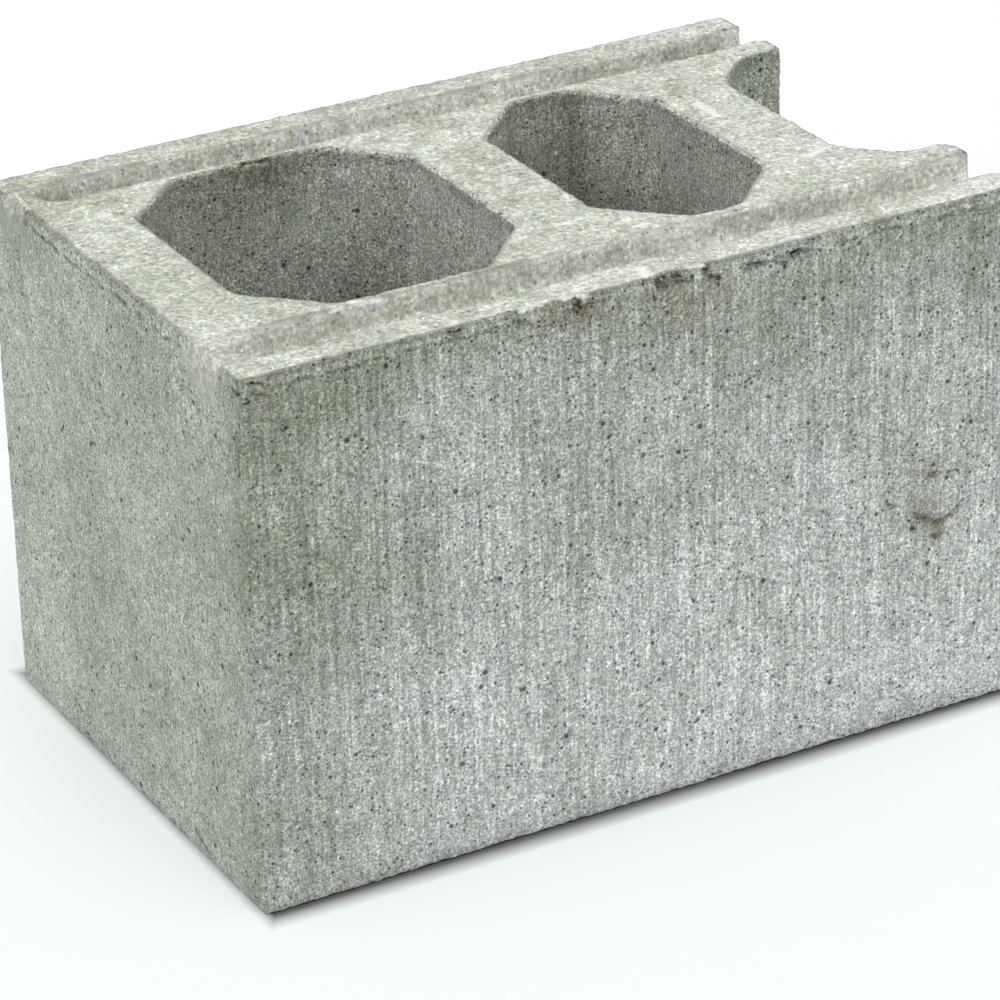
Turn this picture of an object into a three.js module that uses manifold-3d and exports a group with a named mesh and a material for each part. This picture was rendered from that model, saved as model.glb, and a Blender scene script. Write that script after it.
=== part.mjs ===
// Hollow concrete block of three-quarter length, closed at one end and open at the other.
//
// The block is one moulded piece. Two eight-sided cores run through it from top to bottom, and half
// a core opens at its right-hand end between two ears. A round-bottomed groove runs along the top of
// each face shell. It starts just inside the closed end and leaves through the open one, so that a
// low lip stands outside it and a thin ridge between it and the cores.
//
// Millimetres. +X is the length, towards the open end, +Y the width and +Z up. The origin is the
// middle of the underside.

import * as THREE from 'three';
import { mergeVertices } from 'three/addons/utils/BufferGeometryUtils.js';
import Module from 'manifold-3d';

// Overall sizes. The length is the sum of the walls and openings along it.
const WIDTH = 190;
const HEIGHT = 190;

// Walls and openings along the length, measured at the top, from the closed end to the open one.
const END_WALL = 29;
const LONG_CORE_LENGTH = 101.5;
const WEB = 29;
const SHORT_CORE_LENGTH = 66;
const HALF_CORE_DEPTH = 35.5;

// Face shell at the top, from the long face inwards: lip, groove, then the ridge beside the cores.
const LIP_WIDTH = 15.5;
const GROOVE_WIDTH = 14.5;
const RIDGE_WIDTH = 5.5;
const EAR_RIDGE_WIDTH = 13;         // the ridge is wider beside the half core
const LIP_DROP = 1;                 // the lips are this much lower than the bearing face

// Grooves.
const GROOVE_DEPTH = 12;
const GROOVE_WALL = 7;              // straight part of its sides, above the round floor
const GROOVE_FLAT = 2;              // flat left along the middle of the round floor
const GROOVE_START = 10;            // wall left between the closed end and a groove

// Corners of the cores, cut at 45 degrees, and their draft.
const CORE_CORNER = 24;
const CORE_FILLET = 6;              // radius where a core's sides meet
const HALF_CORE_CORNER = 17;
const HALF_CORE_FILLET = 16;        // the half core's corners are nearly round
const CORE_DRAFT = 3;               // how much further out each side of a core is at the bottom

// Rounded edges.
const TOP_ARRIS = 2;
const BOTTOM_ARRIS = 1.5;
const UPRIGHT_ARRIS = 3;
const CORE_ARRIS = 1;
const STEP_FILLET = 0.4;            // in and over the small step between lip and bearing face
const TIP_RADIUS = 4;               // ends of the ears and lips, seen from above
const MOUTH_TURN = 80;              // degrees that a groove's sides turn through round the tips

// How finely round edges are divided, and how far a cutter runs past what it cuts.
const ARC_STEPS = 5;
const OVERRUN = 5;
const SMALLEST_RADIUS = 0.2;

const LENGTH = END_WALL + LONG_CORE_LENGTH + WEB + SHORT_CORE_LENGTH + WEB + HALF_CORE_DEPTH;
const CLOSED_END = -LENGTH / 2;
const OPEN_END = LENGTH / 2;
const SIDE = WIDTH / 2;
const GROOVE_OUTER = SIDE - LIP_WIDTH;
const GROOVE_INNER = GROOVE_OUTER - GROOVE_WIDTH;
const CORE_SIDE = GROOVE_INNER - RIDGE_WIDTH;
const HALF_CORE_SIDE = GROOVE_INNER - EAR_RIDGE_WIDTH;

// ---------------------------------------------------------------------------------------------
// Outlines: a list of corners, each with the radius that rounds it, in anticlockwise order
// ---------------------------------------------------------------------------------------------

const corner = (x, y, radius) => ({ point: new THREE.Vector2(x, y), radius });

// Every corner becomes the same number of points, so that outlines of one kind can be lofted.
function roundedOutline(corners) {
  const outline = [];
  corners.forEach(({ point, radius }, i) => {
    const before = corners.at(i - 1).point;
    const after = corners[(i + 1) % corners.length].point;
    const inward = new THREE.Vector2().subVectors(before, point).normalize();
    const outward = new THREE.Vector2().subVectors(after, point).normalize();
    const opening = Math.acos(THREE.MathUtils.clamp(inward.dot(outward), -1, 1));
    const bend = Math.max(radius, SMALLEST_RADIUS);
    const middle = inward.clone().add(outward).normalize();
    const centre = point.clone().addScaledVector(middle, bend / Math.sin(opening / 2));
    const start = point.clone().addScaledVector(inward, bend / Math.tan(opening / 2)).sub(centre);
    const turn = (Math.PI - opening) * Math.sign(outward.cross(inward));
    for (let step = 0; step <= ARC_STEPS; step += 1) {
      const spoke = start.clone().rotateAround(new THREE.Vector2(), (turn * step) / ARC_STEPS);
      outline.push(spoke.add(centre));
    }
  });
  return outline;
}

// An upright solid through outlines at rising heights, each with as many points as the others.
function loft(levels) {
  const rings = levels.map(({ height, outline }) => outline.map((p) => [p.x, p.y, height]));
  const count = rings[0].length;
  const index = [];
  for (let level = 1; level < rings.length; level += 1) {
    for (let i = 0; i < count; i += 1) {
      const next = (i + 1) % count;
      const lower = (level - 1) * count;
      const upper = level * count;
      index.push(lower + i, lower + next, upper + next, lower + i, upper + next, upper + i);
    }
  }
  const last = (rings.length - 1) * count;
  THREE.ShapeUtils.triangulateShape(levels[0].outline, []).forEach(([a, b, c]) => index.push(c, b, a));
  THREE.ShapeUtils.triangulateShape(levels.at(-1).outline, []).forEach(([a, b, c]) => {
    index.push(last + a, last + b, last + c);
  });
  const geometry = new THREE.BufferGeometry();
  geometry.setAttribute('position', new THREE.Float32BufferAttribute(rings.flat(2), 3));
  geometry.setIndex(index);
  return geometry;
}

// Points round a quarter circle: how far each is from the corner's two sides.
function quarterRound(radius) {
  return Array.from({ length: ARC_STEPS + 1 }, (_, step) => {
    const angle = (Math.PI / 2) * (step / ARC_STEPS);
    return { back: radius * (1 - Math.cos(angle)), below: radius * (1 - Math.sin(angle)) };
  });
}

// ---------------------------------------------------------------------------------------------
// The body: its cross-section run along the length, where it meets its plan
// ---------------------------------------------------------------------------------------------

function crossSection() {
  const lipTop = HEIGHT - LIP_DROP;
  const outline = roundedOutline([
    corner(-SIDE, 0, BOTTOM_ARRIS),
    corner(SIDE, 0, BOTTOM_ARRIS),
    corner(SIDE, lipTop, TOP_ARRIS),
    corner(GROOVE_OUTER, lipTop, STEP_FILLET),
    corner(GROOVE_OUTER, HEIGHT, STEP_FILLET),
    corner(-GROOVE_OUTER, HEIGHT, STEP_FILLET),
    corner(-GROOVE_OUTER, lipTop, STEP_FILLET),
    corner(-SIDE, lipTop, TOP_ARRIS),
  ]);
  const run = LENGTH + 2 * OVERRUN;
  const geometry = new THREE.ExtrudeGeometry(new THREE.Shape(outline), { depth: run, bevelEnabled: false });
  // The section's own x and y become the block's Y and Z.
  geometry.applyMatrix4(new THREE.Matrix4().makeBasis(
    new THREE.Vector3(0, 1, 0),
    new THREE.Vector3(0, 0, 1),
    new THREE.Vector3(1, 0, 0),
  ));
  return geometry.translate(-run / 2, 0, 0);
}

const draftAt = (height) => CORE_DRAFT * (1 - height / HEIGHT);

// A 45-degree corner moves out by grow along with the sides it joins, and so takes up more of them.
const cornerGrown = (slant, grow) => slant + (2 - Math.SQRT2) * grow;

// The plan drawn in by inset all round, with the half core's sides grown by the draft.
function planOutline(inset, grow) {
  const left = CLOSED_END + inset;
  const right = OPEN_END - inset;
  const wall = OPEN_END - HALF_CORE_DEPTH - grow;
  const mouth = HALF_CORE_SIDE + grow;
  const slant = cornerGrown(HALF_CORE_CORNER, grow);
  return roundedOutline([
    corner(left, -SIDE, UPRIGHT_ARRIS),
    corner(right, -SIDE, UPRIGHT_ARRIS),
    corner(right, -mouth, TIP_RADIUS),
    corner(wall + slant, -mouth, HALF_CORE_FILLET),
    corner(wall, -mouth + slant, HALF_CORE_FILLET),
    corner(wall, mouth - slant, HALF_CORE_FILLET),
    corner(wall + slant, mouth, HALF_CORE_FILLET),
    corner(right, mouth, TIP_RADIUS),
    corner(right, SIDE, UPRIGHT_ARRIS),
    corner(left, SIDE, UPRIGHT_ARRIS),
  ]);
}

function plan() {
  const rising = quarterRound(TOP_ARRIS).map(({ back, below }) => [HEIGHT - below, back]);
  const falling = quarterRound(BOTTOM_ARRIS).reverse().map(({ back, below }) => [below, back]);
  const heights = [[-OVERRUN, BOTTOM_ARRIS], ...falling, ...rising, [HEIGHT + OVERRUN, TOP_ARRIS]];
  return loft(heights.map(([height, inset]) => ({
    height,
    outline: planOutline(inset, draftAt(height)),
  })));
}

// ---------------------------------------------------------------------------------------------
// What is cut out of it
// ---------------------------------------------------------------------------------------------

function coreOutline(start, length, grow) {
  const left = start - grow;
  const right = start + length + grow;
  const side = CORE_SIDE + grow;
  const slant = cornerGrown(CORE_CORNER, grow);
  const fillet = CORE_FILLET + grow;
  return roundedOutline([
    corner(left + slant, -side, fillet),
    corner(right - slant, -side, fillet),
    corner(right, -side + slant, fillet),
    corner(right, side - slant, fillet),
    corner(right - slant, side, fillet),
    corner(left + slant, side, fillet),
    corner(left, side - slant, fillet),
    corner(left, -side + slant, fillet),
  ]);
}

// A core is drafted, and its edges are rounded at the top and the bottom.
function core(start, length) {
  const edge = quarterRound(CORE_ARRIS);
  const falling = edge.toReversed().map(({ back, below }) => [below, back]);
  const rising = edge.map(({ back, below }) => [HEIGHT - below, back]);
  const heights = [[-OVERRUN, CORE_ARRIS], ...falling, ...rising, [HEIGHT + OVERRUN, CORE_ARRIS]];
  return loft(heights.map(([height, flare]) => ({
    height,
    outline: coreOutline(start, length, draftAt(height) + flare),
  })));
}

// A groove's outline, its sides moved out by grow. Its mouth widens round the tips of lip and ear.
function grooveOutline(grow) {
  const start = CLOSED_END + GROOVE_START - grow;
  const inner = GROOVE_INNER - grow;
  const outer = GROOVE_OUTER + grow;
  const endRadius = (outer - inner) / 2 - SMALLEST_RADIUS;
  const turn = THREE.MathUtils.degToRad(MOUTH_TURN);
  const bend = OPEN_END - TIP_RADIUS * Math.tan(turn / 2) * Math.cos(turn);
  const flared = bend + OVERRUN;
  const flare = OVERRUN * Math.tan(turn);
  const beyond = flared + OVERRUN;
  return roundedOutline([
    corner(start, inner, endRadius),
    corner(bend, inner, TIP_RADIUS),
    corner(flared, inner - flare, 0),
    corner(beyond, inner - flare, 0),
    corner(beyond, outer + flare, 0),
    corner(flared, outer + flare, 0),
    corner(bend, outer, TIP_RADIUS),
    corner(start, outer, endRadius),
  ]);
}

// The floor is half an ellipse, from the foot of the straight sides to the flat in the middle.
function groove() {
  const floor = HEIGHT - GROOVE_DEPTH;
  const rise = GROOVE_DEPTH - GROOVE_WALL;
  const spread = (GROOVE_WIDTH - GROOVE_FLAT) / 2;
  const bowl = quarterRound(1).toReversed()
    .map(({ back, below }) => [floor + rise * below, -spread * back]);
  const edge = quarterRound(CORE_ARRIS).map(({ back, below }) => [HEIGHT - below, back]);
  const heights = [...bowl, ...edge, [HEIGHT + OVERRUN, CORE_ARRIS]];
  return loft(heights.map(([height, grow]) => ({ height, outline: grooveOutline(grow) })));
}

// ---------------------------------------------------------------------------------------------
// Joining and cutting
// ---------------------------------------------------------------------------------------------

const wasm = await Module();
wasm.setup();

function solid(geometry) {
  const bare = geometry.clone();
  bare.deleteAttribute('normal');
  bare.deleteAttribute('uv');
  const merged = mergeVertices(bare);
  return new wasm.Manifold(new wasm.Mesh({
    numProp: 3,
    vertProperties: merged.attributes.position.array,
    triVerts: Uint32Array.from(merged.index.array),
  }));
}

function geometryOf(manifold) {
  const mesh = manifold.getMesh();
  const geometry = new THREE.BufferGeometry();
  geometry.setAttribute('position', new THREE.BufferAttribute(mesh.vertProperties, 3));
  geometry.setIndex(new THREE.BufferAttribute(mesh.triVerts, 1));
  geometry.computeVertexNormals();
  return geometry;
}

function concreteBlock() {
  const longCoreStart = CLOSED_END + END_WALL;
  const shortCoreStart = longCoreStart + LONG_CORE_LENGTH + WEB;
  const backGroove = solid(groove());
  const cutters = [
    solid(core(longCoreStart, LONG_CORE_LENGTH)),
    solid(core(shortCoreStart, SHORT_CORE_LENGTH)),
    backGroove,
    backGroove.mirror([0, 1, 0]),
  ];
  const body = solid(crossSection()).intersect(solid(plan()));
  return geometryOf(cutters.reduce((block, cutter) => block.subtract(cutter), body));
}

const concrete = new THREE.MeshStandardMaterial({ color: 0xa3a89f, roughness: 0.93, metalness: 0 });

const block = new THREE.Mesh(concreteBlock(), concrete);
block.name = 'concrete_block';

const group = new THREE.Group();
group.add(block);

export default group;
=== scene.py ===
"""Looks of a three-quarter hollow concrete block standing on a white studio floor.

The block is one piece of dry-cast concrete: pressed into a steel mould, drawn out of it wet and
cured. The detailed piece is made from the frame's own block, with its edges worn, its arrises
chipped and its scars sunk, and it stands for that block. Where the paste is olive, bluish from
washing, stained or salted, and where light and shade are painted on it, is marked on it too,
for the material to read.
"""

import math

import bpy
import numpy as np
from mathutils import Matrix, Vector
from mathutils.bvhtree import BVHTree


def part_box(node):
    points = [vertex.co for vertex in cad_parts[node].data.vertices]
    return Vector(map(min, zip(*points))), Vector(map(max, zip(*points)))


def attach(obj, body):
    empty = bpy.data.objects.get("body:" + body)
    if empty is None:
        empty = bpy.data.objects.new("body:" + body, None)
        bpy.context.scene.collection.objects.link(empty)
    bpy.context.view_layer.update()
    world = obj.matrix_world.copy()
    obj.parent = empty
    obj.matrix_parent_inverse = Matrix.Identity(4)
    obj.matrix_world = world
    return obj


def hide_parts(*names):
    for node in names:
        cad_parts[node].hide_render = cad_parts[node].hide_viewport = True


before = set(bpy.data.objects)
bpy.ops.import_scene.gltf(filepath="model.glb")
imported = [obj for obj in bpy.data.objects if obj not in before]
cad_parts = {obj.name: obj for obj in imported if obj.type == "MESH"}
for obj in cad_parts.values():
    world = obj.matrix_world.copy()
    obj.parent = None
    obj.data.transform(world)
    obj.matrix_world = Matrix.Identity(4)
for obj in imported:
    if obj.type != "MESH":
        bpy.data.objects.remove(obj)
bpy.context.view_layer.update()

MM = 0.001
NODE = "concrete_block"
LOW, HIGH = (np.array(point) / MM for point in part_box(NODE))   # the block's corners, in mm
CLOSED_END, FRONT, _ = LOW
OPEN_END, BACK, TOP = HIGH

# The part's grooves, which the mould's head presses in.
LIP_WIDTH = 15.5
GROOVE_WIDTH = 14.5
GROOVE_DEPTH = 12.0
GROOVE_RIM = BACK - LIP_WIDTH - GROOVE_WIDTH    # how far the grooves' inner rims lie from the middle

# ------------------------------------------------------------------------------------------------
# Wear, in millimetres
# ------------------------------------------------------------------------------------------------

VOXEL = 0.95     # how finely the block is divided before it is worn
TRIANGLES = 185_000

WORN_RADIUS = 0.8           # how far in from an arris handling has rounded it
SOFT_RADIUS = 2.4           # the same for the rims of the grooves, where they have crumbled
BROKEN_RADIUS = 4.0         # how far in a chip reaches
WEAR_PATCH = 14.0           # length of the stretches over which the wear comes and goes
SOFT_PATCH = 28.0           # the same for the crumbling of the grooves' rims
CRUMB = 2.0                 # size of the crumbs that break away along an edge
CRUMB_DEPTH = 0.45
WAVE = 45.0                 # length of the slight waves that the mould leaves in a face
WAVE_DEPTH = 0.12
SCAR_DEPTH = 1.3

# Each mark is a line through points, and how far the mark reaches on each side of it.
CHIPS = (
    (((-25.7, FRONT, 188.0), (-24.8, FRONT, 182.8)), 2.0),
    (((-24.8, FRONT, 185.5), (-22.7, FRONT, 184.7)), 1.4),
    (((5.2, FRONT, 187.0), (11.5, FRONT, 187.6)), 2.8),
    (((11.0, FRONT, 187.0), (13.4, FRONT, 185.4)), 1.7),
    (((22.0, FRONT, 187.0), (23.8, FRONT, 183.2)), 1.8),
    (((23.8, FRONT, 184.4), (27.5, FRONT, 182.8)), 1.5),
    (((-72.1, FRONT, 188.8), (-69.6, FRONT, 187.2), (-67.1, FRONT, 188.3)), 1.2),
    (((CLOSED_END, -53.0, 2.5), (CLOSED_END, -47.5, 6.0), (CLOSED_END, -45.0, 8.0)), 1.8),
    (((CLOSED_END, 38.5, 0.5), (CLOSED_END, 41.5, 2.0)), 2.2),
)
SCARS = (
    (((103.3, FRONT, 79.0), (107.0, FRONT, 76.3), (111.5, FRONT, 73.8)), 1.1),
    (((111.5, FRONT, 73.8), (115.5, FRONT, 73.7), (119.0, FRONT, 75.2), (122.3, FRONT, 78.2)), 1.1),
    (((111.0, FRONT, 73.2), (114.0, FRONT, 72.8)), 1.5),
    (((109.2, FRONT, 92.0), (113.4, FRONT, 91.4)), 1.0),
    (((116.2, FRONT, 90.9), (120.0, FRONT, 90.7)), 0.8),
    (((92.2, FRONT, 85.6), (94.2, FRONT, 83.8)), 1.2),
    (((84.9, FRONT, 62.2), (86.2, FRONT, 61.2)), 1.2),
    (((110.0, FRONT, 68.5), (112.5, FRONT, 68.3)), 0.9),
    (((37.7, FRONT, 184.8), (42.6, FRONT, 184.6)), 1.0),
    (((50.2, FRONT, 182.9), (52.9, FRONT, 182.2)), 0.9),
    (((54.0, FRONT, 185.0), (57.4, FRONT, 185.4)), 1.2),
    (((-140.6, FRONT, 187.5), (-136.4, FRONT, 186.4)), 0.9),
    (((-140.2, FRONT, 183.6), (-135.1, FRONT, 182.4)), 0.8),
    (((-66.0, 60.5, 189.0), (-56.0, 60.0, 189.0)), 1.4),
    (((CLOSED_END, 47.5, 3.0), (CLOSED_END, 49.0, 14.0)), 0.8),
)
STAINS = (
    (((-35.0, FRONT, 184.0), (-22.0, FRONT, 182.0)), 5.5),
    (((7.0, FRONT, 184.0), (14.0, FRONT, 177.5)), 5.5),
    (((23.0, FRONT, 184.0), (27.0, FRONT, 181.0)), 3.5),
    (((106.0, FRONT, 79.0), (113.0, FRONT, 68.0)), 6.0),
    (((109.0, FRONT, 98.0), (111.0, FRONT, 88.0)), 3.0),
    (((-70.0, 61.5, 185.0), (-48.0, 61.5, 182.0)), 6.0),
)
SALT = (
    (((-138.7, 43.2, TOP), (-122.7, 42.9, TOP)), 1.2),
    (((-143.8, -55.0, TOP), (-143.8, -64.0, TOP)), 1.2),
    (((-143.5, -72.0, TOP), (-143.0, -90.0, TOP)), 1.4),
    (((-143.0, 62.0, TOP), (-141.0, 80.0, TOP)), 1.3),
    (((-111.0, -86.0, TOP), (-106.5, -85.0, TOP)), 1.6),
    (((-96.5, -64.0, TOP), (-93.0, -63.3, TOP)), 2.2),
    (((-88.5, -62.0, TOP), (-80.0, -65.0, TOP)), 2.6),
    (((-45.0, -93.6, 189.0), (-39.0, -93.0, 189.0), (-35.0, -91.8, 189.0)), 2.2),
    (((-30.0, -92.8, 189.0), (-22.0, -93.5, 189.0)), 1.9),
    (((-23.5, -91.0, 189.0), (-21.5, -87.5, 189.0)), 1.6),
    (((-12.5, -69.0, TOP), (-6.0, -68.5, TOP)), 1.6),
    (((-4.0, -44.0, TOP), (6.5, -43.0, TOP)), 1.6),
    (((16.5, -58.0, TOP), (22.0, -58.0, TOP)), 1.6),
    (((0.5, -93.0, 189.0), (2.5, -86.5, 189.0)), 1.8),
    (((15.5, -93.2, 189.0), (21.0, -93.6, 189.0)), 1.8),
    (((56.0, -66.5, TOP), (64.0, -65.0, TOP)), 1.8),
    (((90.9, 10.0, TOP), (90.8, 23.0, TOP)), 3.2),
    (((98.0, -37.5, TOP), (104.0, -35.5, TOP)), 1.8),
    (((118.5, 18.0, TOP), (124.5, 19.0, TOP)), 1.8),
    (((CLOSED_END, 63.0, 168.0), (CLOSED_END, 61.0, 151.0)), 1.2),
    (((CLOSED_END, -57.0, 173.0), (CLOSED_END, -59.0, 161.0)), 1.1),
)


def grain(points, size, seed):
    """Smooth random values from -1 to 1 at points, changing over about size."""
    cells = 64
    table = np.random.default_rng(seed).uniform(-1.0, 1.0, (cells, cells, cells))
    places = points / size
    corner = np.floor(places).astype(int)
    within = places - corner
    share = within * within * (3.0 - 2.0 * within)
    total = np.zeros(len(points))
    for step in np.ndindex(2, 2, 2):
        x, y, z = ((corner + step) % cells).T
        weight = np.where(step, share, 1.0 - share).prod(axis=1)
        total += table[x, y, z] * weight
    return total


def ramp(values, start, end):
    """0 below start and 1 above end, smooth between them."""
    share = np.clip((values - start) / (end - start), 0.0, 1.0)
    return share * share * (3.0 - 2.0 * share)


def between(values, start, end, soft):
    """1 between start and end and 0 beyond them, smooth over soft to either side."""
    return ramp(values, start - soft, start + soft) * (1.0 - ramp(values, end - soft, end + soft))


def marked(points, marks, ragged, core=0.5):
    """1 along the marks, as far out as core of their reach, and 0 past their reach, which is uneven."""
    amount = np.zeros(len(points))
    for corners, reach in marks:
        for start, end in zip(corners, corners[1:]):
            start, run = np.array(start), np.array(end) - np.array(start)
            share = np.clip((points - start) @ run / (run @ run), 0.0, 1.0)
            away = np.linalg.norm(points - start - share[:, None] * run, axis=1)
            amount = np.maximum(amount, 1.0 - ramp(away / (reach * (1.0 + ragged)), core, 1.0))
    return amount


def relaxed(points, edges, reach):
    """The points after each has moved to the middle of its neighbours until that evens out reach."""
    ends = np.concatenate((edges, edges[:, ::-1]))
    neighbours = np.bincount(ends[:, 0], minlength=len(points))
    for _ in range(max(1, round((reach / VOXEL) ** 2 * 2.0))):
        points = np.stack([
            np.bincount(ends[:, 0], points[ends[:, 1], axis], len(points)) / neighbours
            for axis in range(3)
        ], axis=1)
    return points


def apply_modifiers(obj):
    """The modifiers' result becomes obj's own mesh."""
    ready = obj.evaluated_get(bpy.context.evaluated_depsgraph_get())
    mesh = bpy.data.meshes.new_from_object(ready)
    obj.modifiers.clear()
    obj.data = mesh


def vertex_places(mesh):
    places = np.empty(len(mesh.vertices) * 3, np.float32)
    mesh.vertices.foreach_get("co", places)
    return places.reshape(-1, 3).astype(float) / MM


def vertex_normals(mesh):
    normals = np.empty(len(mesh.vertices) * 3, np.float32)
    mesh.vertex_normals.foreach_get("vector", normals)
    return normals.reshape(-1, 3).astype(float)


def edge_ends(mesh):
    ends = np.empty(len(mesh.edges) * 2, np.int32)
    mesh.edges.foreach_get("vertices", ends)
    return ends.reshape(-1, 2)


def place_vertices(mesh, points):
    mesh.vertices.foreach_set("co", (points * MM).astype(np.float32).ravel())
    mesh.update()


def groove_amount(points):
    """1 in and beside the grooves, down to their floors, and 0 away from them."""
    side = BACK - np.abs(points[:, 1])
    inward = ramp(side, LIP_WIDTH - 3.0, LIP_WIDTH - 1.0)
    outward = 1.0 - ramp(side, LIP_WIDTH + GROOVE_WIDTH + 1.0, LIP_WIDTH + GROOVE_WIDTH + 3.0)
    return inward * outward * ramp(points[:, 2], TOP - GROOVE_DEPTH - 2.0, TOP - GROOVE_DEPTH)


def worn(mesh, points):
    """The points after handling has rounded and crumbled the edges, and the mould waved the faces."""
    edges = edge_ends(mesh)
    rubbed = relaxed(points, edges, WORN_RADIUS)
    softened = relaxed(points, edges, SOFT_RADIUS)
    broken = relaxed(points, edges, BROKEN_RADIUS)

    wear = 0.6 + 0.4 * grain(points, WEAR_PATCH, seed=1)
    soft = groove_amount(points) * ramp(grain(points, SOFT_PATCH, seed=4), -0.5, 0.3)
    ragged = 0.6 * grain(points, CRUMB, seed=11)
    chip = marked(points, CHIPS, ragged, core=0.75)
    near_edge = ramp(np.linalg.norm(broken - points, axis=1), 0.2, 0.7)
    crumbs = (grain(points, CRUMB, seed=2) - 0.4) * near_edge * (0.6 + 1.2 * chip) * CRUMB_DEPTH
    waves = np.abs(grain(points, WAVE, seed=3)) * WAVE_DEPTH
    scars = marked(points, SCARS, ragged, core=0.3) * SCAR_DEPTH

    shaped = points
    for amount, goal in ((wear, rubbed), (soft, softened), (chip, broken)):
        shaped = shaped + (goal - shaped) * amount[:, None]
    shaped = shaped + vertex_normals(mesh) * (crumbs - waves - scars)[:, None]
    return np.clip(shaped, LOW, HIGH)


def worn_block(source):
    """The block divided finely, worn and chipped, and then thinned out where it is flat and plain."""
    block = bpy.data.objects.new("worn_block", source.data.copy())
    bpy.context.scene.collection.objects.link(block)
    remesh = block.modifiers.new("divide evenly", "REMESH")
    remesh.mode = "VOXEL"
    remesh.voxel_size = VOXEL * MM
    remesh.adaptivity = 0.0
    apply_modifiers(block)
    mesh = block.data
    points = vertex_places(mesh)
    place_vertices(mesh, worn(mesh, points))

    plain = block.vertex_groups.new(name="plain")
    plain.add(np.flatnonzero(marked(points, SALT, 0.0) == 0.0).tolist(), 1.0, "REPLACE")
    thin = block.modifiers.new("thin out", "DECIMATE")
    thin.ratio = TRIANGLES / (2.0 * len(mesh.polygons))
    thin.vertex_group = plain.name
    apply_modifiers(block)
    block.vertex_groups.clear()
    block.data.shade_smooth()
    return block


# ------------------------------------------------------------------------------------------------
# Where the surface is of which kind, and where light and shade are painted on it, marked on the vertices
# for the material
# ------------------------------------------------------------------------------------------------

# Where the cores lie along the block, and how far from its middle their back walls are.
LONG_CORE_END = -14.5
SHORT_CORE_START = 14.5
SHORT_CORE_END = 80.5
HALF_CORE_START = 110.0
CORE_SIDE = 59.5


def outside_amounts(points):
    """1 on the long faces and 0 elsewhere, and the same for the closed end."""
    on_long = ramp(np.abs(points[:, 1]), BACK - 3.0, BACK - 1.0)
    on_end = ramp(-points[:, 0], -CLOSED_END - 3.0, -CLOSED_END - 1.0) * (1.0 - on_long)
    return on_long, on_end


def washed_and_lit_long_face(x, below):
    """Bluish grey most towards the foot, partly the paste's own tone and partly painted light from the
    floor below, and less beside the closed end.
    """
    return 0.42 * ramp(x, CLOSED_END + 5.0, CLOSED_END + 90.0) + 0.6 * below - 0.1


def washed_closed_end(y, z, below):
    """Washed nearly evenly, with olive paste beside the front arris."""
    cleaner = 0.1 * ramp(np.abs(y + 8.0), 35.0, 90.0) + 0.14 * below + 0.12 * ramp(z, 150.0, 180.0)
    return 0.4 + cleaner - 0.35 * ramp(-y, BACK - 20.0, BACK - 2.0)


def washed_and_shaded_cores(x, y, below):
    """Bluish grey most on the long core's end wall, which faces the light, and least on the back walls
    under the rims and between the ears, and darker down the slanted walls and deep in the short core.
    Except between the ears, this is painted light and shade.
    """
    in_short_core = ramp(x, LONG_CORE_END + 4.5, SHORT_CORE_START - 4.5)
    deep = np.minimum(below, 0.25)
    on_slant = between(x, LONG_CORE_END - 18.5, LONG_CORE_END - 1.0, 1.5)
    on_slant = on_slant + between(x, SHORT_CORE_END - 21.5, SHORT_CORE_END - 1.5, 1.5)
    on_back_wall = between(y, CORE_SIDE - 6.5, BACK - 8.0, 4.0) * (1.0 - between(x, -44.0, -14.0, 4.0))
    amount = 0.6 + (0.36 - 1.08 * below) * in_short_core
    amount = amount - (0.2 + 0.3 * in_short_core) * on_back_wall
    amount = amount + on_slant * (0.25 - 2.4 * deep - (0.25 - 0.9 * deep) * in_short_core)
    amount = amount + 0.55 * between(x, LONG_CORE_END - 1.0, -5.0, 1.5)
    return amount - 0.43 * ramp(x, HALF_CORE_START, HALF_CORE_START + 10.0)


def washed_and_shaded_amount(points):
    """How far the paste of the moulded faces goes from olive, at 0, to bluish grey, at 1, with painted
    light and shade in the cores and painted light towards the long faces' foot.
    """
    x, y, z = points.T
    below = 1.0 - z / TOP
    on_long, on_end = outside_amounts(points)
    amount = washed_and_lit_long_face(x, below) * on_long + washed_closed_end(y, z, below) * on_end
    amount = amount + washed_and_shaded_cores(x, y, below) * (1.0 - on_long - on_end)
    return amount - 0.2 * ramp(z, TOP - 30.0, TOP - 4.0) * (1.0 - 0.7 * on_end)


def pale_lips(x, y):
    """The lips are palest towards the open end."""
    front = y < 0.0
    whitens = np.where(front, 100.0, 112.0)
    dull = np.where(front, 0.15 * between(x, 20.0, 100.0, 8.0), 0.3)
    on_lip = 1.0 - ramp(BACK - np.abs(y), LIP_WIDTH - 1.0, LIP_WIDTH + 1.0)
    return on_lip * (0.1 + 0.3 * ramp(x, whitens - 10.0, whitens + 10.0) - dull)


def pale_grooves(points):
    """The front groove has pale stretches, and both are dull at their blind ends."""
    x, y, _ = points.T
    in_front = 0.55 * between(x, -104.0, -18.0, 8.0) + 0.4 * between(x, -44.0, -8.0, 5.0)
    in_front = in_front + 0.1 * between(x, 10.0, 44.0, 6.0) - 0.15 * between(x, 50.0, 118.0, 6.0)
    in_back = -0.35 * between(x, 110.0, 136.0, 5.0)
    blind_end = 0.15 * (1.0 - ramp(x, -112.0, -100.0))
    hollowed = groove_amount(points) * ramp(np.abs(y), GROOVE_RIM, GROOVE_RIM + 3.0)
    return hollowed * (np.where(y < 0.0, in_front, in_back) - blind_end)


def pale_amount(points):
    """How far the paste of the top has dried from olive, at 0, to a pale grey, at 1."""
    x, y, _ = points.T
    along = 0.34 + 0.1 * ramp(x, -60.0, -10.0) + 0.15 * ramp(x, 10.0, 50.0)
    by_ear = 0.3 * between(x, 80.0, 118.0, 8.0) * ramp(-y, 35.0, 55.0) * (1.0 - groove_amount(points))
    return along + pale_lips(x, y) + pale_grooves(points) - by_ear


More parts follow.
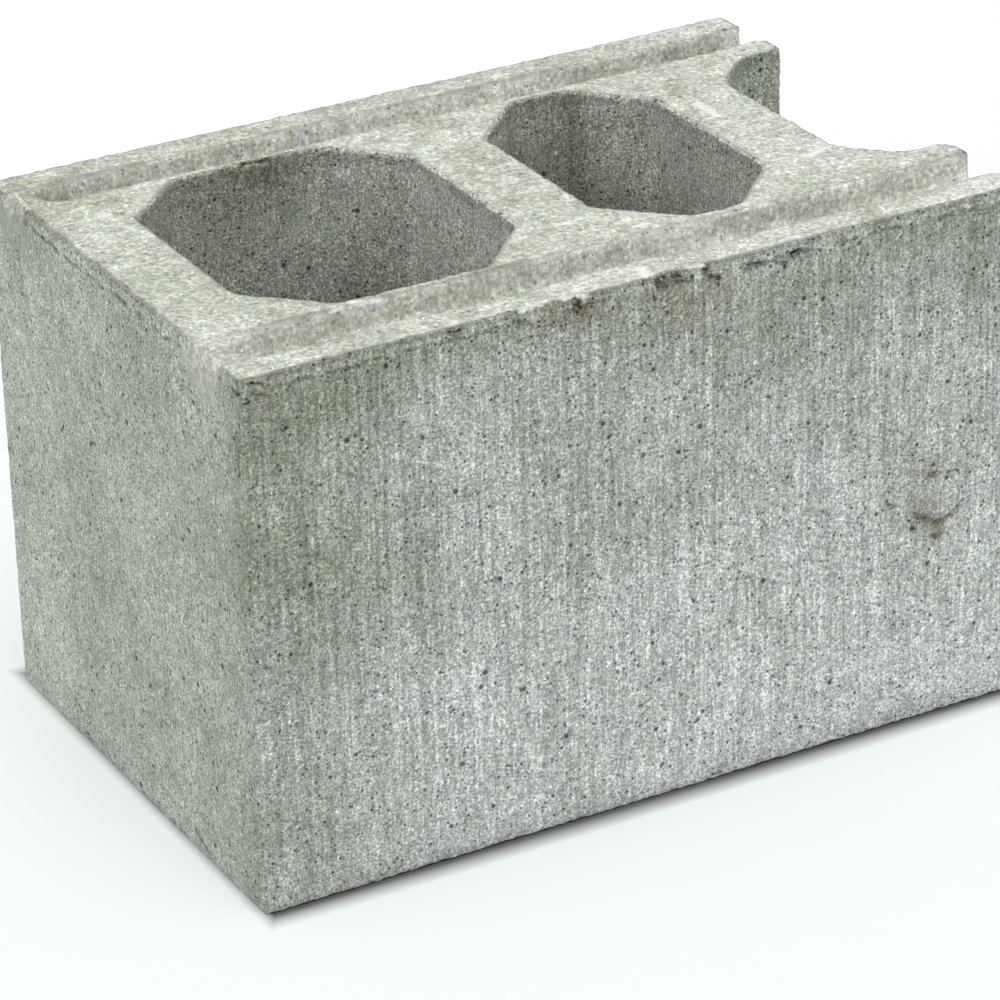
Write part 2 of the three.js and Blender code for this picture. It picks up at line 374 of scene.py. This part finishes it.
def arris_shade_amount(points, upward):
    """1 on the outer faces' top arrises, and a little less just under the rims of the cores: painted
    shade, which darkens both.
    """
    outer = np.add(*outside_amounts(points))
    arris = outer * between(upward, 0.35, 0.94, 0.15)
    inner = 1.0 - np.maximum(outer, groove_amount(points))
    rim = inner * (1.0 - ramp(upward, 0.3, 0.7)) * ramp(points[:, 2], TOP - 7.0, TOP - 2.5)
    return arris + 0.8 * rim


def broken_amount(points, gone, ragged):
    """1 where a chip or scar bares the inside, from the mark itself or from how much stone is gone."""
    lost = ramp(gone * (1.0 - groove_amount(points)), 0.7, 1.5)
    return np.maximum(lost, marked(points, CHIPS + SCARS, ragged, core=0.3))


def mark_surfaces(block, source):
    """Keeps how far each vertex is of each kind of surface, and returns the kinds' names."""
    mesh = block.data
    points = vertex_places(mesh)
    upward = vertex_normals(mesh)[:, 2]
    whole = BVHTree.FromObject(source, bpy.context.evaluated_depsgraph_get())
    gone = np.array([whole.find_nearest(v.co)[3] for v in mesh.vertices]) / MM
    ragged = 0.5 * grain(points, 2.0 * CRUMB, seed=21)
    faint = 0.5 * outside_amounts(points)[1]
    kinds = {
        "struck_off": ramp(upward, 0.94, 0.99) * ramp(points[:, 2], TOP - 4.0, TOP - 2.5),
        "pressed": groove_amount(points),
        # Painted shade on the outer top arrises and just under the cores' rims.
        "arris": arris_shade_amount(points, upward),
        # The paste's tone from olive to bluish grey, with painted light and shade in the cores and towards
        # the long faces' foot.
        "washed_and_shaded": washed_and_shaded_amount(points),
        "pale": pale_amount(points),
        "broken": broken_amount(points, gone, ragged),
        "stained": marked(points, STAINS, ragged, core=0.2),
        "salted": marked(points, SALT, ragged, core=0.2) * (1.0 - faint),
    }
    for name, amounts in kinds.items():
        layer = mesh.attributes.new(name, "FLOAT", "POINT")
        layer.data.foreach_set("value", amounts.astype(np.float32))
    return list(kinds)


block = worn_block(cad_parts[NODE])
kinds_of_surface = mark_surfaces(block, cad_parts[NODE])
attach(block, "root")
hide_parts(NODE)

# ------------------------------------------------------------------------------------------------
# Materials
# ------------------------------------------------------------------------------------------------


def linear(colour):
    """A colour written as sRGB hex, as the linear RGBA that a socket takes."""
    channels = [int(colour[i:i + 2], 16) / 255.0 for i in (1, 3, 5)]
    return (*[c / 12.92 if c <= 0.04045 else ((c + 0.055) / 1.055) ** 2.4 for c in channels], 1.0)


def add(tree, kind, inputs=None, out=0, **settings):
    """Adds a node with its own settings and with its inputs set or linked, and returns an output.

    A Mix node's inputs 2 and 3 are the numbers it mixes, 4 and 5 its vectors, and 6 and 7 its
    colours. A node that ends a tree has no output to return.
    """
    made = tree.nodes.new("ShaderNode" + kind)
    for name, value in settings.items():
        setattr(made, name, value)
    for name, value in (inputs or {}).items():
        if isinstance(value, bpy.types.NodeSocket):
            tree.links.new(value, made.inputs[name])
        else:
            made.inputs[name].default_value = value
    return made.outputs[out] if made.outputs else None


MIXES_VECTORS = {"out": 1, "data_type": "VECTOR"}
MIXES_COLOURS = {"out": 2, "data_type": "RGBA"}


def new_material(name):
    material = bpy.data.materials.new(name)
    material.use_nodes = True
    material.node_tree.nodes.clear()
    return material, material.node_tree


# Sizes of the concrete's patterns, in mm. Its finest sand is 0.2 mm; the smallest drawn is 0.7 mm,
# because anything finer would be lost between pixels at this distance.
SAND = 0.8
TOP_SAND = 1.7
GRIT = 1.4
PIT = 3.6
BLOTCH = 8.0
CLOUD = 45.0
DRAG_WIDTH = 0.7
DRAG_LENGTH = 6.0
LINE_WIDTH = 1.35
LINE_LENGTH = 40.0
STREAK_WIDTH = 2.0
STREAK_LENGTH = 16.0
SALT_SPECK = 1.1
HOLLOW = 1.6

# Spots: the share of their places that has one, and the largest one's radius. Fine pores and bare
# pale grains lie where the grit does, and wide pores where a pit may be.
FINE_PORES = (0.42, 0.58)
BARE_GRAINS = (0.25, 0.45)
WIDE_PORES = (0.22, 1.0)
SPOT_RAGGED = 2.4
SPOT_EDGE = 0.12

# The strip along the top of the outer faces.
STRIP_HEIGHT = 5.0
STRIP_WANDER = 5.0
STRIP_SHARE = 0.22
# Size of the patches of painted shade along the strip's lower edge.
CRUMBLY_SHADE_PATCH = 6.0

# The line along the foot of the outer faces, lightened: painted light against the shade of the rounded
# bottom arris.
LIT_FOOT_HEIGHT = 1.8

# How strongly each pattern lightens the paste: where the mould's walls drew off it, and where its
# head pressed it.
SAND_CONTRAST = (3.2, 1.9)
INNER_SAND_CONTRAST = (0.9, 0.0)
GRIT_CONTRAST = (0.35, 0.3)
BLOTCH_CONTRAST = (0.25, 0.5)
DRAG_CONTRAST = (0.8, 0.5)
LINE_CONTRAST = (0.7, 0.0)
FAINT_LINE_CONTRAST = (0.25, 0.0)
BARE_CONTRAST = (0.4, 0.5)
PORE_CONTRAST = (-1.7, -0.7)
# Painted shade in patches along the pressed strip's lower edge.
CRUMBLY_SHADE_CONTRAST = (-0.6, 0.0)
# Painted shade on the outer top arrises and just under the cores' rims.
ARRIS_SHADE_CONTRAST = (-0.4, 0.0)
# Painted light along the foot of the outer faces.
LIT_FOOT_CONTRAST = (0.7, 0.0)

OLIVE_WALL = "#8C9184"
WASHED_AND_LIT_WALL = "#CBCFC7"
WASHED_AND_LIT_LONG_FACE = "#CACDCC"
OLIVE_TOP = "#B4BAA8"
PALE_TOP = "#DADDD7"
OLIVE_GROOVE = "#B0B3A8"
PALE_GROOVE = "#E2E4DD"
BROWN_STAIN = "#8C8272"
BROKEN_STONE = "#85816E"
HOLLOW_SHADE = "#403E35"
WARM_GRIT = "#FFFBF6"
COOL_GRIT = "#F8FCFF"
LIME_SALT = "#F4F6F0"

# How far the blotches and clouds shift the paste between olive and bluish grey, and between olive and
# pale.
CLOUD_UNEVEN = 0.9
BLOTCH_UNEVEN = 0.5
WALL_UNEVEN = 1.0
TOP_UNEVEN = 1.5

STAIN_STRENGTH = 0.6
BROKEN_STRENGTH = 0.8
SALT_STRENGTH = 0.9

ROUGHNESS = 0.95
IOR = 1.5
SPECULAR = 0.3
RELIEF = 0.45       # mm that a pattern rises by where its share below is 1
SAND_RISE = 0.35
DRAG_RISE = 0.3
LINE_RISE = 0.2


def block_faces(tree, mm):
    """Which faces of the block a place is on, as 1 or 0, and how high it is in mm."""
    place = add(tree, "SeparateXYZ", {"Vector": mm}).node.outputs
    across = add(tree, "Math", {0: place["Y"]}, operation="ABSOLUTE")
    long_face = add(tree, "MapRange", {"Value": across, "From Min": BACK - 2.0, "From Max": BACK - 1.2})
    closed_end = add(tree, "MapRange", {
        "Value": place["X"], "From Min": CLOSED_END + 2.0, "From Max": CLOSED_END + 1.2,
    })
    outside = add(tree, "Math", {0: long_face, 1: closed_end}, operation="MAXIMUM")
    inside = add(tree, "Math", {0: 1.0, 1: outside}, operation="SUBTRACT")
    lined = add(tree, "MapRange", {"Value": place["Z"], "From Max": TOP / 4.0, "To Min": 0.3})
    lined = add(tree, "Math", {0: lined, 1: long_face}, operation="MULTIPLY")
    # A band along the foot, which the material lightens as painted light against the shade of the rounded
    # bottom arris.
    foot = add(tree, "MapRange", {
        "Value": place["Z"], "From Min": LIT_FOOT_HEIGHT, "From Max": 0.3 * LIT_FOOT_HEIGHT,
    })
    return {
        "long": long_face, "outside": outside, "inside": inside, "lined": lined, "foot": foot,
        "height": place["Z"],
    }


def scattered(tree, mm, spacing):
    """Points about spacing apart: how far away the nearest is, and three random values of its own."""
    cell = add(tree, "TexVoronoi", {"Vector": mm, "Scale": 1 / spacing}).node.outputs
    chances = add(tree, "TexWhiteNoise", {"Vector": cell["Color"]}, out="Color")
    return cell["Distance"], add(tree, "SeparateColor", {"Color": chances}).node.outputs


def spots(tree, away, chance, swell, spacing, share, radius):
    """Round spots, up to radius and ragged by swell, on a share of points that lie spacing apart."""
    reach = add(tree, "MapRange", {
        "Value": chance, "From Min": 1.0 - share, "To Max": radius / spacing,
    })
    reach = add(tree, "Math", {0: reach, 1: swell}, operation="MULTIPLY")
    inside = add(tree, "Math", {0: reach, 1: away}, operation="SUBTRACT")
    return add(tree, "MapRange", {"Value": inside, "From Max": SPOT_EDGE / spacing})


def sand_and_pores(tree, mm, headed):
    """Sand, grit, grains that lie bare, and open pores."""
    sand_scale = add(tree, "Mix", {0: headed, 2: 1 / SAND, 3: 1 / TOP_SAND})
    sand = add(tree, "TexNoise", {
        "Vector": mm, "Scale": sand_scale, "Detail": 2.0, "Roughness": 0.7,
    })
    swell = add(tree, "Math", {
        0: sand, 1: SPOT_RAGGED, 2: 1.0 - 0.5 * SPOT_RAGGED,
    }, operation="MULTIPLY_ADD")
    away, (grit, warmth, chance) = scattered(tree, mm, GRIT)
    other_chance = add(tree, "Math", {0: 1.0, 1: chance}, operation="SUBTRACT")
    bare = spots(tree, away, other_chance, swell, GRIT, *BARE_GRAINS)
    fine_pore = spots(tree, away, chance, swell, GRIT, *FINE_PORES)
    away, (chance, *_) = scattered(tree, mm, PIT)
    wide_pore = spots(tree, away, chance, swell, PIT, *WIDE_PORES)
    pore = add(tree, "Math", {0: fine_pore, 1: wide_pore}, operation="MAXIMUM")
    return {"sand": sand, "grit": grit, "warmth": warmth, "bare": bare, "pore": pore}


def mould_traces(tree, mm, struck_off):
    """Fine upright drag marks and lines, and along the struck-off top the streaks of its raking."""
    drag_scale = add(tree, "Mix", {
        0: struck_off,
        4: (1 / DRAG_WIDTH, 1 / DRAG_WIDTH, 1 / DRAG_LENGTH),
        5: (1 / STREAK_LENGTH, 1 / STREAK_WIDTH, 1 / STREAK_WIDTH),
    }, **MIXES_VECTORS)
    drag_places = add(tree, "VectorMath", {0: mm, 1: drag_scale}, operation="MULTIPLY")
    line_places = add(tree, "VectorMath", {
        0: mm, 1: (1 / LINE_WIDTH, 1 / LINE_WIDTH, 1 / LINE_LENGTH),
    }, operation="MULTIPLY")
    drag = add(tree, "TexNoise", {"Vector": drag_places, "Scale": 1.0, "Detail": 2.0})
    line = add(tree, "TexNoise", {"Vector": line_places, "Scale": 1.0, "Detail": 1.0})
    return drag, line


def pressed_strip(tree, mm, faces, blotch):
    """The strip that the mould's head pressed along the outer faces' tops, and dark patches along its
    lower edge: painted shade under a slight overhang, where the edge also crumbles.
    """
    above = add(tree, "Math", {
        0: blotch, 1: STRIP_WANDER, 2: faces["height"],
    }, operation="MULTIPLY_ADD")
    above = add(tree, "Math", {
        0: above, 1: TOP - STRIP_HEIGHT + 0.5 * STRIP_WANDER,
    }, operation="SUBTRACT")
    strip = add(tree, "MapRange", {
        "Value": above, "From Min": -0.3, "From Max": 0.3, "To Max": STRIP_SHARE,
    })
    strip = add(tree, "Math", {0: strip, 1: faces["outside"]}, operation="MULTIPLY")

    # Painted shade in patches along the strip's lower edge, under a slight overhang.
    from_edge = add(tree, "Math", {0: above}, operation="ABSOLUTE")
    crumbly_shade = add(tree, "MapRange", {"Value": from_edge, "From Min": 1.1, "From Max": 0.3})
    crumbly_shade = add(tree, "Math", {0: crumbly_shade, 1: faces["outside"]}, operation="MULTIPLY")
    patches = add(tree, "TexNoise", {"Vector": mm, "Scale": 1 / CRUMBLY_SHADE_PATCH, "Detail": 2.0})
    patches = add(tree, "MapRange", {"Value": patches, "From Min": 0.44, "From Max": 0.54})
    crumbly_shade = add(tree, "Math", {0: crumbly_shade, 1: patches}, operation="MULTIPLY")
    return strip, crumbly_shade


def paste_colour(tree, mm, kinds, faces, blotch, strip):
    """The paste under everything fine: olive, washed or pale, with its stains and broken places."""
    cloud = add(tree, "TexNoise", {"Vector": mm, "Scale": 1 / CLOUD, "Detail": 2.0})
    uneven = -0.5 * (CLOUD_UNEVEN + BLOTCH_UNEVEN)
    for pattern, strength in ((cloud, CLOUD_UNEVEN), (blotch, BLOTCH_UNEVEN)):
        uneven = add(tree, "Math", {0: pattern, 1: strength, 2: uneven}, operation="MULTIPLY_ADD")
    washed_and_shaded, pale = (
        add(tree, "Math", {
            0: uneven, 1: strength, 2: kinds[name],
        }, operation="MULTIPLY_ADD", use_clamp=True)
        for name, strength in (("washed_and_shaded", WALL_UNEVEN), ("pale", TOP_UNEVEN))
    )
    hollow = add(tree, "TexNoise", {"Vector": mm, "Scale": 1 / HOLLOW, "Detail": 1.0})
    hollow = add(tree, "Math", {0: kinds["broken"], 1: 0.5, 2: hollow}, operation="MULTIPLY_ADD")
    hollow = add(tree, "MapRange", {"Value": hollow, "From Min": 0.93, "From Max": 1.05})

    washed_and_lit_paste = add(tree, "Mix", {
        0: faces["long"], 6: linear(WASHED_AND_LIT_WALL), 7: linear(WASHED_AND_LIT_LONG_FACE),
    }, **MIXES_COLOURS)
    # Olive to bluish grey, partly the paste's own tone and partly painted light and shade.
    colour = add(tree, "Mix", {0: washed_and_shaded, 6: linear(OLIVE_WALL), 7: washed_and_lit_paste}, **MIXES_COLOURS)
    top = add(tree, "Mix", {0: pale, 6: linear(OLIVE_TOP), 7: linear(PALE_TOP)}, **MIXES_COLOURS)
    groove = add(tree, "Mix", {
        0: pale, 6: linear(OLIVE_GROOVE), 7: linear(PALE_GROOVE),
    }, **MIXES_COLOURS)
    for kind, strength, paste in (
        (kinds["pressed"], 1.0, groove),
        (strip, 1.0, top),
        (kinds["struck_off"], 1.0, top),
        (kinds["stained"], STAIN_STRENGTH, linear(BROWN_STAIN)),
        (kinds["broken"], BROKEN_STRENGTH, linear(BROKEN_STONE)),
        (hollow, 1.0, linear(HOLLOW_SHADE)),
    ):
        share = add(tree, "Math", {0: kind, 1: strength}, operation="MULTIPLY")
        colour = add(tree, "Mix", {0: share, 6: colour, 7: paste}, **MIXES_COLOURS)
    return colour


def fine_tone(tree, patterns, headed):
    """How far everything fine lightens or darkens the paste, as a share of the paste's own colour."""
    shift = 0.0
    for pattern, middle, (moulded, pressed), where in patterns:
        contrast = add(tree, "Mix", {0: headed, 2: moulded, 3: pressed})
        contrast = add(tree, "Math", {0: contrast, 1: where}, operation="MULTIPLY")
        centred = add(tree, "Math", {0: pattern, 1: middle}, operation="SUBTRACT")
        shift = add(tree, "Math", {0: centred, 1: contrast, 2: shift}, operation="MULTIPLY_ADD")
    tone = add(tree, "Math", {0: shift}, operation="EXPONENT")
    return add(tree, "CombineXYZ", {0: tone, 1: tone, 2: tone})


def cast_concrete(kinds_of_surface):
    """Dry-cast concrete: sand and grit in grey paste, open pores, drag marks where it left the mould.

    The grit breaks the light up into fine specks, the pores show as dark pinholes, and the paste goes from
    olive to bluish grey over a face, in the cores and towards the long faces' foot partly as painted light
    and shade. Painted shade also darkens the top arrises, the walls just under the cores' rims and patches
    along the pressed strip, and painted light lightens the foot of the outer faces.
    """
    material, tree = new_material("dry-cast concrete, drawn from the mould")
    places = add(tree, "TexCoord", out="Object")
    mm = add(tree, "VectorMath", {0: places, "Scale": 1.0 / MM}, operation="SCALE")
    kinds = {
        name: add(tree, "Attribute", out="Fac", attribute_name=name) for name in kinds_of_surface
    }
    headed = add(tree, "Math", {0: kinds["struck_off"], 1: kinds["pressed"]}, operation="MAXIMUM")
    faces = block_faces(tree, mm)
    grains = sand_and_pores(tree, mm, headed)
    drag, line = mould_traces(tree, mm, kinds["struck_off"])
    blotch = add(tree, "TexNoise", {"Vector": mm, "Scale": 1 / BLOTCH, "Detail": 2.5})
    strip, crumbly_shade = pressed_strip(tree, mm, faces, blotch)

    colour = paste_colour(tree, mm, kinds, faces, blotch, strip)
    stone = add(tree, "Mix", {
        0: grains["warmth"], 6: linear(WARM_GRIT), 7: linear(COOL_GRIT),
    }, **MIXES_COLOURS)
    tone = fine_tone(tree, (
        (grains["sand"], 0.5, SAND_CONTRAST, 1.0),
        (grains["sand"], 0.5, INNER_SAND_CONTRAST, faces["inside"]),
        (grains["grit"], 0.5, GRIT_CONTRAST, 1.0),
        (blotch, 0.5, BLOTCH_CONTRAST, 1.0),
        (drag, 0.5, DRAG_CONTRAST, 1.0),
        (line, 0.5, LINE_CONTRAST, faces["lined"]),
        (line, 0.5, FAINT_LINE_CONTRAST, 1.0),
        (grains["bare"], 0.0, BARE_CONTRAST, 1.0),
        (grains["pore"], 0.0, PORE_CONTRAST, 1.0),
        # Painted shade in patches along the pressed strip's lower edge.
        (crumbly_shade, 0.0, CRUMBLY_SHADE_CONTRAST, 1.0),
        # Painted shade on the outer top arrises and just under the cores' rims.
        (kinds["arris"], 0.0, ARRIS_SHADE_CONTRAST, 1.0),
        # Painted light along the foot of the outer faces.
        (faces["foot"], 0.0, LIT_FOOT_CONTRAST, faces["outside"]),
    ), headed)
    for tint in (stone, tone):
        colour = add(tree, "Mix", {0: 1.0, 6: colour, 7: tint}, blend_type="MULTIPLY", **MIXES_COLOURS)
    speck = add(tree, "TexNoise", {"Vector": mm, "Scale": 1 / SALT_SPECK, "Detail": 1.0})
    salt = add(tree, "Math", {0: kinds["salted"], 1: 0.6, 2: speck}, operation="MULTIPLY_ADD")
    salt = add(tree, "MapRange", {
        "Value": salt, "From Min": 0.64, "From Max": 1.15, "To Max": SALT_STRENGTH,
    })
    colour = add(tree, "Mix", {0: salt, 6: colour, 7: linear(LIME_SALT)}, **MIXES_COLOURS)

    height = 0.0
    for pattern, rise in ((grains["sand"], SAND_RISE), (drag, DRAG_RISE), (line, LINE_RISE)):
        height = add(tree, "Math", {0: pattern, 1: rise, 2: height}, operation="MULTIPLY_ADD")
    relief = add(tree, "Bump", {"Height": height, "Strength": 1.0, "Distance": RELIEF * MM})
    surface = add(tree, "BsdfPrincipled", {
        "Base Color": colour, "Roughness": ROUGHNESS, "IOR": IOR, "Specular IOR Level": SPECULAR,
        "Normal": relief,
    })
    add(tree, "OutputMaterial", {"Surface": surface})
    return material


block.data.materials.clear()
block.data.materials.append(cast_concrete(kinds_of_surface))

# ------------------------------------------------------------------------------------------------
# Studio
# ------------------------------------------------------------------------------------------------

FLOOR_SIZE = 12.0
CONTACT_SHADOW_START = 0.5 * MM       # how far from the long faces the painted contact shadow is darkest, and how far it reaches
CONTACT_SHADOW_END = 9.0 * MM
END_BLUR = 3.0 * MM         # the painted contact shadow ends this softly past the ends
END_GLOW = 16.0 * MM        # beside the ends, painted light fades the floor into white over this, up to this share, lifting the block's shadow there
END_GLOW_SHARE = 0.45
FLOOR_FADES = (0.1, 0.27)   # metres from the block's middle over which the floor fades into white; near the block this is painted light on its shadow
FLOOR_WHITENS = (0.3, 0.6)

SHADOWED_BOARD = "#6E706D"
PAINTED_BOARD = "#F9FEFC"
NEAR_GLOW = "#FAFFFE"
FAR_GLOW = "#FFFFFF"

ROOM_LIGHT = 0.7
SOFTBOX_POWER = 16.0
SOFTBOX_SIZE = 1.6
SOFTBOX_PLACE = (-0.3, -0.5, 1.9)
SOFTBOX_AIM = (0.0, 0.0, 0.1)


def studio_floor():
    """White painted board: matt, fading into white away from the block as a glow that only the camera
    sees, and darkened along the feet of the block's long faces by a painted contact shadow. Near the block
    and beside its ends, the glow is painted light that lifts the block's own shadow.
    """
    material, tree = new_material("white painted studio board")
    places = add(tree, "TexCoord", out="Object")
    away = add(tree, "VectorMath", {0: places}, out="Value", operation="LENGTH")
    place = add(tree, "SeparateXYZ", {"Vector": places}).node.outputs
    along = add(tree, "Math", {0: place["X"]}, operation="ABSOLUTE")
    across = add(tree, "Math", {0: place["Y"]}, operation="ABSOLUTE")
    side = BACK * MM
    end = OPEN_END * MM
    # Painted contact shadow: the board darkens towards the feet of the long faces, and is bare of it past
    # the ends.
    past_sides = add(tree, "MapRange", {
        "Value": across, "From Min": side + CONTACT_SHADOW_START, "From Max": side + CONTACT_SHADOW_END,
    })
    past_ends = add(tree, "MapRange", {
        "Value": along, "From Min": end - END_BLUR, "From Max": end + END_BLUR,
    })
    bare = add(tree, "Math", {0: past_sides, 1: past_ends}, operation="MAXIMUM")
    board = add(tree, "Mix", {
        0: bare, 6: linear(SHADOWED_BOARD), 7: linear(PAINTED_BOARD),
    }, **MIXES_COLOURS)

    far, white = (
        add(tree, "MapRange", {"Value": away, "From Min": near, "From Max": distant})
        for near, distant in (FLOOR_FADES, FLOOR_WHITENS)
    )
    # Painted light beside the block's ends, which lifts the block's shadow there.
    beside = add(tree, "MapRange", {
        "Value": along, "From Min": end + END_GLOW, "From Max": end, "To Max": END_GLOW_SHARE,
    })
    beside = add(tree, "Math", {0: beside, 1: past_ends}, operation="MULTIPLY")
    share = add(tree, "Math", {0: far, 1: beside}, operation="MAXIMUM")
    share = add(tree, "Math", {0: share, 1: bare}, operation="MULTIPLY")
    seen = add(tree, "LightPath", out="Is Camera Ray")
    share = add(tree, "Math", {0: share, 1: seen}, operation="MULTIPLY")
    tint = add(tree, "Mix", {0: white, 6: linear(NEAR_GLOW), 7: linear(FAR_GLOW)}, **MIXES_COLOURS)
    painted = add(tree, "BsdfDiffuse", {"Color": board})
    glow = add(tree, "Emission", {"Color": tint, "Strength": 1.0})
    surface = add(tree, "MixShader", {0: share, 1: painted, 2: glow})
    add(tree, "OutputMaterial", {"Surface": surface})
    material.cycles.emission_sampling = "NONE"      # only the camera sees the glow

    bpy.ops.mesh.primitive_plane_add(size=FLOOR_SIZE)
    floor = bpy.context.object
    floor.name = "studio_floor"
    floor.data.materials.append(material)


def overhead_softbox():
    light = bpy.data.lights.new("overhead softbox", "AREA")
    light.shape = "DISK"
    light.size = SOFTBOX_SIZE
    light.energy = SOFTBOX_POWER
    lamp = bpy.data.objects.new("overhead softbox", light)
    lamp.location = SOFTBOX_PLACE
    lamp.rotation_euler = (Vector(SOFTBOX_AIM) - Vector(SOFTBOX_PLACE)).to_track_quat("-Z", "Y").to_euler()
    bpy.context.scene.collection.objects.link(lamp)


def white_room():
    """Light from all round, as in a tent of white cloth, and plain white where the camera sees it."""
    world = bpy.data.worlds.new("white room")
    world.use_nodes = True
    tree = world.node_tree
    tree.nodes.clear()
    seen = add(tree, "LightPath", out="Is Camera Ray")
    strength = add(tree, "MapRange", {"Value": seen, "To Min": ROOM_LIGHT, "To Max": 1.0})
    cloth = add(tree, "Background", {"Color": (1.0, 1.0, 1.0, 1.0), "Strength": strength})
    add(tree, "OutputWorld", {"Surface": cloth})
    bpy.context.scene.world = world


studio_floor()
white_room()
overhead_softbox()

# ------------------------------------------------------------------------------------------------
# Camera
# ------------------------------------------------------------------------------------------------

CAMERA_AZIMUTH = math.radians(28.69)    # turned from looking straight at the long face
CAMERA_ELEVATION = math.radians(26.27)
CAMERA_ROLL = math.radians(-1.55)
CAMERA_DISTANCE = 1.60268
CAMERA_AIM = Vector((-0.00337, 0.0, 0.07231))
SENSOR_WIDTH = 36.0
LENS = 4.67715 * SENSOR_WIDTH


def add_camera():
    ahead = Vector((
        math.sin(CAMERA_AZIMUTH) * math.cos(CAMERA_ELEVATION),
        math.cos(CAMERA_AZIMUTH) * math.cos(CAMERA_ELEVATION),
        -math.sin(CAMERA_ELEVATION),
    ))
    level = Vector((math.cos(CAMERA_AZIMUTH), -math.sin(CAMERA_AZIMUTH), 0.0))
    upright = level.cross(ahead)
    right = level * math.cos(CAMERA_ROLL) + upright * math.sin(CAMERA_ROLL)
    up = upright * math.cos(CAMERA_ROLL) - level * math.sin(CAMERA_ROLL)
    place = Matrix((right, up, -ahead)).transposed().to_4x4()
    place.translation = CAMERA_AIM - ahead * CAMERA_DISTANCE
    data = bpy.data.cameras.new("camera")
    data.sensor_width = SENSOR_WIDTH
    data.lens = LENS
    camera = bpy.data.objects.new("camera", data)
    camera.matrix_world = place
    bpy.context.scene.collection.objects.link(camera)
    bpy.context.scene.camera = camera


add_camera()
bpy.context.scene.view_settings.view_transform = "Standard"
